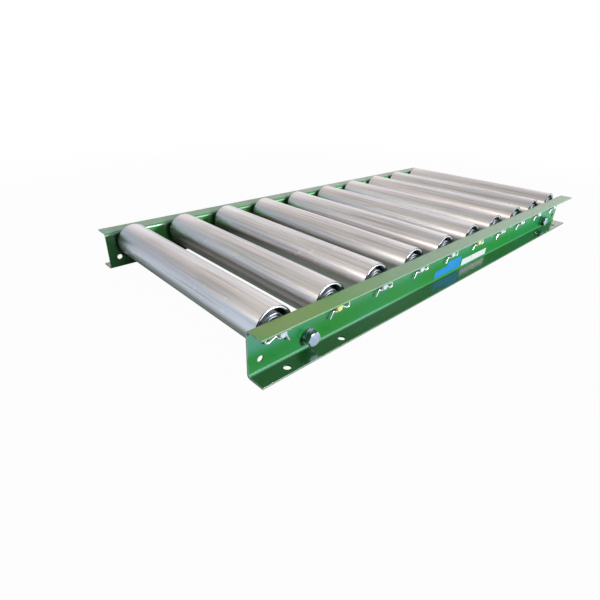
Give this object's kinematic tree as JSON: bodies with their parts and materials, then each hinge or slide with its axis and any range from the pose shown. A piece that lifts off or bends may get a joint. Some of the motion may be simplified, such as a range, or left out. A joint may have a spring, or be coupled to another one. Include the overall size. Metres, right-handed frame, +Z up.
{
  "type": "gravity roller conveyor",
  "caption": "Straight gravity roller conveyor section: green channel side rails, cross stays and free-turning steel rollers on fixed axles held by spring pins.",
  "frame": {"origin": "on the floor plane, under the middle of the section", "axes": "+X along the conveyor, +Y across it to the left rail, +Z up"},
  "size_m": [0.996, 0.47, 0.0777],
  "materials": {
    "rail_paint": "thick glossy green enamel over pressed steel sheet",
    "stay_zinc": "dull zinc plating over steel pipe",
    "plug_steel": "turned and welded steel",
    "fastener_zinc": "bright bluish zinc plating",
    "race_steel": "turned and ground bearing steel",
    "pin_wire": "zinc plated spring wire",
    "axle_zinc": "zinc plated drawn bar, a few with a yellowish passivation",
    "roller_steel": "satin drawn steel tube with fine lengthwise streaks",
    "housing_steel": "pressed and zinc plated steel sheet",
    "shield_zinc": "pressed steel, bright zinc plated"
  },
  "bodies": {
    "frame": {"right_rail": "rail_paint", "left_rail": "rail_paint", "cross_stays": "stay_zinc", "stay_plugs": "plug_steel", "flat_washers": "fastener_zinc", "spring_washers": "fastener_zinc", "stay_bolts": "fastener_zinc", "inner_races": "race_steel", "spring_pins": "pin_wire", "axle_01": "axle_zinc", "axle_02": "axle_zinc", "axle_03": "axle_zinc", "axle_04": "axle_zinc", "axle_05": "axle_zinc", "axle_06": "axle_zinc", "axle_07": "axle_zinc", "axle_08": "axle_zinc", "axle_09": "axle_zinc", "axle_10": "axle_zinc"},
    "roller_01": {"roller_tube_01": "roller_steel", "bearing_housings_01": "housing_steel", "bearing_balls_01": "race_steel", "dust_shields_01": "shield_zinc"},
    "roller_02": {"roller_tube_02": "roller_steel", "bearing_housings_02": "housing_steel", "bearing_balls_02": "race_steel", "dust_shields_02": "shield_zinc"},
    "roller_03": {"roller_tube_03": "roller_steel", "bearing_housings_03": "housing_steel", "bearing_balls_03": "race_steel", "dust_shields_03": "shield_zinc"},
    "roller_04": {"roller_tube_04": "roller_steel", "bearing_housings_04": "housing_steel", "bearing_balls_04": "race_steel", "dust_shields_04": "shield_zinc"},
    "roller_05": {"roller_tube_05": "roller_steel", "bearing_housings_05": "housing_steel", "bearing_balls_05": "race_steel", "dust_shields_05": "shield_zinc"},
    "roller_06": {"roller_tube_06": "roller_steel", "bearing_housings_06": "housing_steel", "bearing_balls_06": "race_steel", "dust_shields_06": "shield_zinc"},
    "roller_07": {"roller_tube_07": "roller_steel", "bearing_housings_07": "housing_steel", "bearing_balls_07": "race_steel", "dust_shields_07": "shield_zinc"},
    "roller_08": {"roller_tube_08": "roller_steel", "bearing_housings_08": "housing_steel", "bearing_balls_08": "race_steel", "dust_shields_08": "shield_zinc"},
    "roller_09": {"roller_tube_09": "roller_steel", "bearing_housings_09": "housing_steel", "bearing_balls_09": "race_steel", "dust_shields_09": "shield_zinc"},
    "roller_10": {"roller_tube_10": "roller_steel", "bearing_housings_10": "housing_steel", "bearing_balls_10": "race_steel", "dust_shields_10": "shield_zinc"}
  },
  "joints": [
    {"name": "roller_01_spin", "type": "hinge", "parent": "frame", "child": "roller_01", "pos_m": [-0.45, 0, 0.0475], "axis": [0, 1, 0], "continuous": true},
    {"name": "roller_02_spin", "type": "hinge", "parent": "frame", "child": "roller_02", "pos_m": [-0.35, 0, 0.0475], "axis": [0, 1, 0], "continuous": true},
    {"name": "roller_03_spin", "type": "hinge", "parent": "frame", "child": "roller_03", "pos_m": [-0.25, 0, 0.0475], "axis": [0, 1, 0], "continuous": true},
    {"name": "roller_04_spin", "type": "hinge", "parent": "frame", "child": "roller_04", "pos_m": [-0.15, 0, 0.0475], "axis": [0, 1, 0], "continuous": true},
    {"name": "roller_05_spin", "type": "hinge", "parent": "frame", "child": "roller_05", "pos_m": [-0.05, 0, 0.0475], "axis": [0, 1, 0], "continuous": true},
    {"name": "roller_06_spin", "type": "hinge", "parent": "frame", "child": "roller_06", "pos_m": [0.05, 0, 0.0475], "axis": [0, 1, 0], "continuous": true},
    {"name": "roller_07_spin", "type": "hinge", "parent": "frame", "child": "roller_07", "pos_m": [0.15, 0, 0.0475], "axis": [0, 1, 0], "continuous": true},
    {"name": "roller_08_spin", "type": "hinge", "parent": "frame", "child": "roller_08", "pos_m": [0.25, 0, 0.0475], "axis": [0, 1, 0], "continuous": true},
    {"name": "roller_09_spin", "type": "hinge", "parent": "frame", "child": "roller_09", "pos_m": [0.35, 0, 0.0475], "axis": [0, 1, 0], "continuous": true},
    {"name": "roller_10_spin", "type": "hinge", "parent": "frame", "child": "roller_10", "pos_m": [0.45, 0, 0.0475], "axis": [0, 1, 0], "continuous": true}
  ]
}
